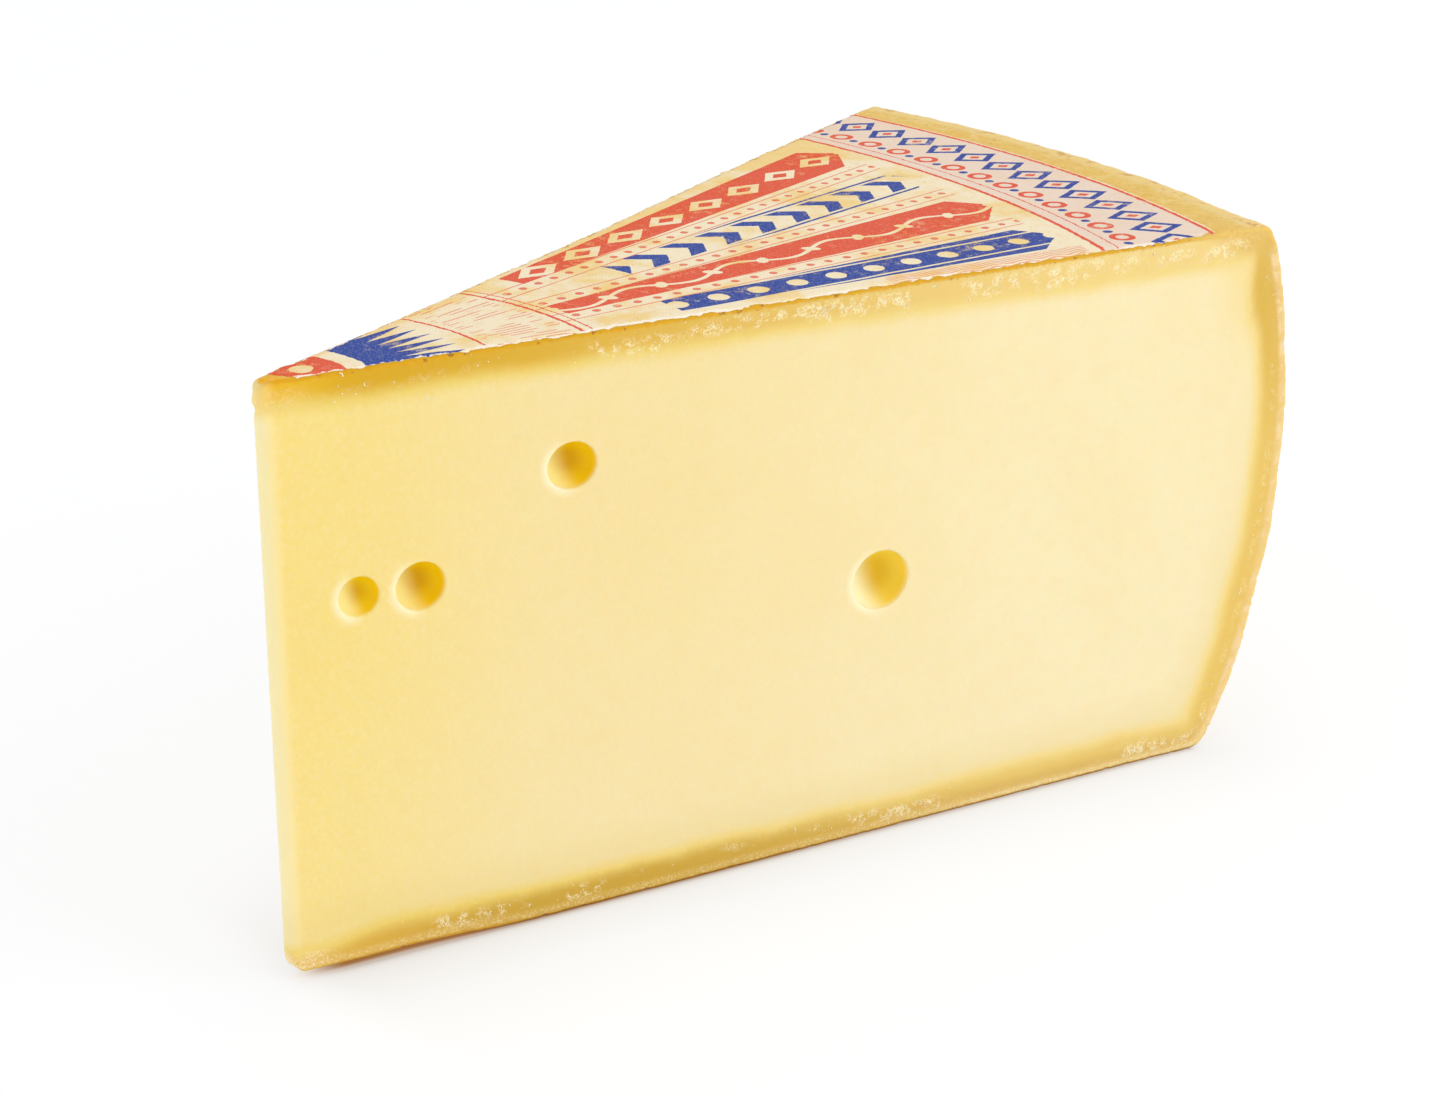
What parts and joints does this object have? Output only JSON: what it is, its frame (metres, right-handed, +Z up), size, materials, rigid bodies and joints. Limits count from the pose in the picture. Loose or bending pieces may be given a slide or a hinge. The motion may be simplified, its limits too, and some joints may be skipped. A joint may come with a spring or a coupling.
{
  "type": "cheese wedge",
  "caption": "Wedge of hard yellow cheese cut from a flat round wheel, with a bulged rind heel, a blunt nose, gas holes opened by the cuts and a thin printed label on its top rind.",
  "frame": {"origin": "on the surface that the wedge stands on, under the middle of its bounding box", "axes": "+Z up, from the foot rind to the top rind; +X along the line midway between the two cuts, from the nose to the heel"},
  "size_m": [0.245, 0.136, 0.115],
  "materials": {
    "cheese": null,
    "label": null
  },
  "bodies": {
    "root": {"cheese": "cheese", "label": "label"}
  },
  "joints": []
}
